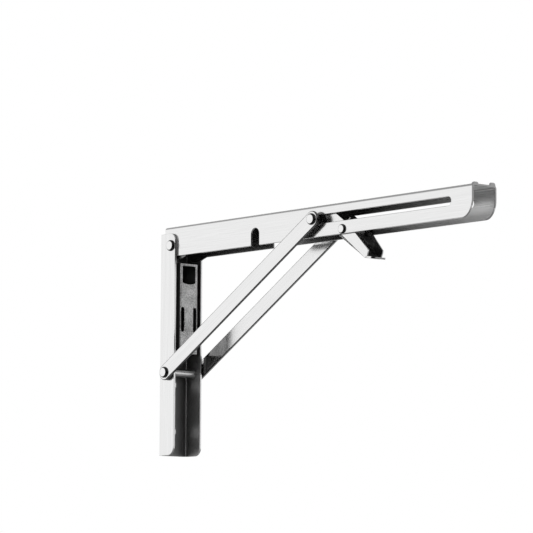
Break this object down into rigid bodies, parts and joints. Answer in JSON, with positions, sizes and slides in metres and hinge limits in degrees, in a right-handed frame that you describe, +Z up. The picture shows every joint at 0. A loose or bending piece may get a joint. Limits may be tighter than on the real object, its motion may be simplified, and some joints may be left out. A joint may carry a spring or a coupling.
{
  "type": "folding shelf bracket",
  "caption": "Folding wall bracket: a channel arm pivots on a wall rail and is propped by two brace bars that run in slots and lock with a sprung release lever.",
  "frame": {"origin": "middle of the wall rail's back face, where it meets the wall", "axes": "+X out from the wall along the open arm, +Y across the bracket, +Z up"},
  "size_m": [0.4, 0.044, 0.2086],
  "materials": {
    "stainless": "bright rolled sheet with a fine lengthwise grain",
    "rivet_steel": "turned and polished",
    "matt_steel": "matt, finely speckled",
    "spring_steel": "drawn wire"
  },
  "bodies": {
    "rail_body": {"wall_rail": "stainless", "rail_inner_channel": "matt_steel", "top_pivot_pin": "rivet_steel"},
    "arm_body": {"shelf_arm": "stainless", "pivot_cheek_left": "stainless", "pivot_cheek_right": "stainless", "lever_pin": "rivet_steel", "lever_sleeve": "rivet_steel"},
    "brace_body": {"brace_left": "stainless", "brace_right": "stainless", "brace_washer_left": "rivet_steel", "brace_washer_right": "rivet_steel", "brace_stud_left": "rivet_steel", "brace_stud_right": "rivet_steel", "lower_pivot_pin": "rivet_steel", "lower_pivot_sleeve": "rivet_steel"},
    "slide_body": {"slide_pin_left": "rivet_steel", "slide_pin_right": "rivet_steel"},
    "lever_body": {"release_lever": "stainless", "lever_spring": "spring_steel"}
  },
  "joints": [
    {"name": "arm_fold", "type": "hinge", "parent": "rail_body", "child": "arm_body", "pos_m": [0.0158, 0, 0.089], "axis": [0, 1, 0], "range_deg": [0, 90]},
    {"name": "brace_fold", "type": "hinge", "parent": "rail_body", "child": "brace_body", "pos_m": [0.0124, 0, -0.0256], "axis": [0, 1, 0], "range_deg": [0, 119]},
    {"name": "pin_slide", "type": "slide", "parent": "arm_body", "child": "slide_body", "axis": [1, 0, 0], "range_m": [0, 0.1512]},
    {"name": "lever_squeeze", "type": "hinge", "parent": "arm_body", "child": "lever_body", "pos_m": [0.2439, 0, 0.0833], "axis": [0, 1, 0], "range_deg": [-32, 0], "stiffness_Nm_per_rad": 0.25, "springref_deg": 20.05}
  ],
  "couplings": [
    {"joint": "brace_fold", "follows": "arm_fold", "ratio": 1.3217},
    {"joint": "pin_slide", "follows": "arm_fold", "m_per_rad": 0.096223}
  ]
}
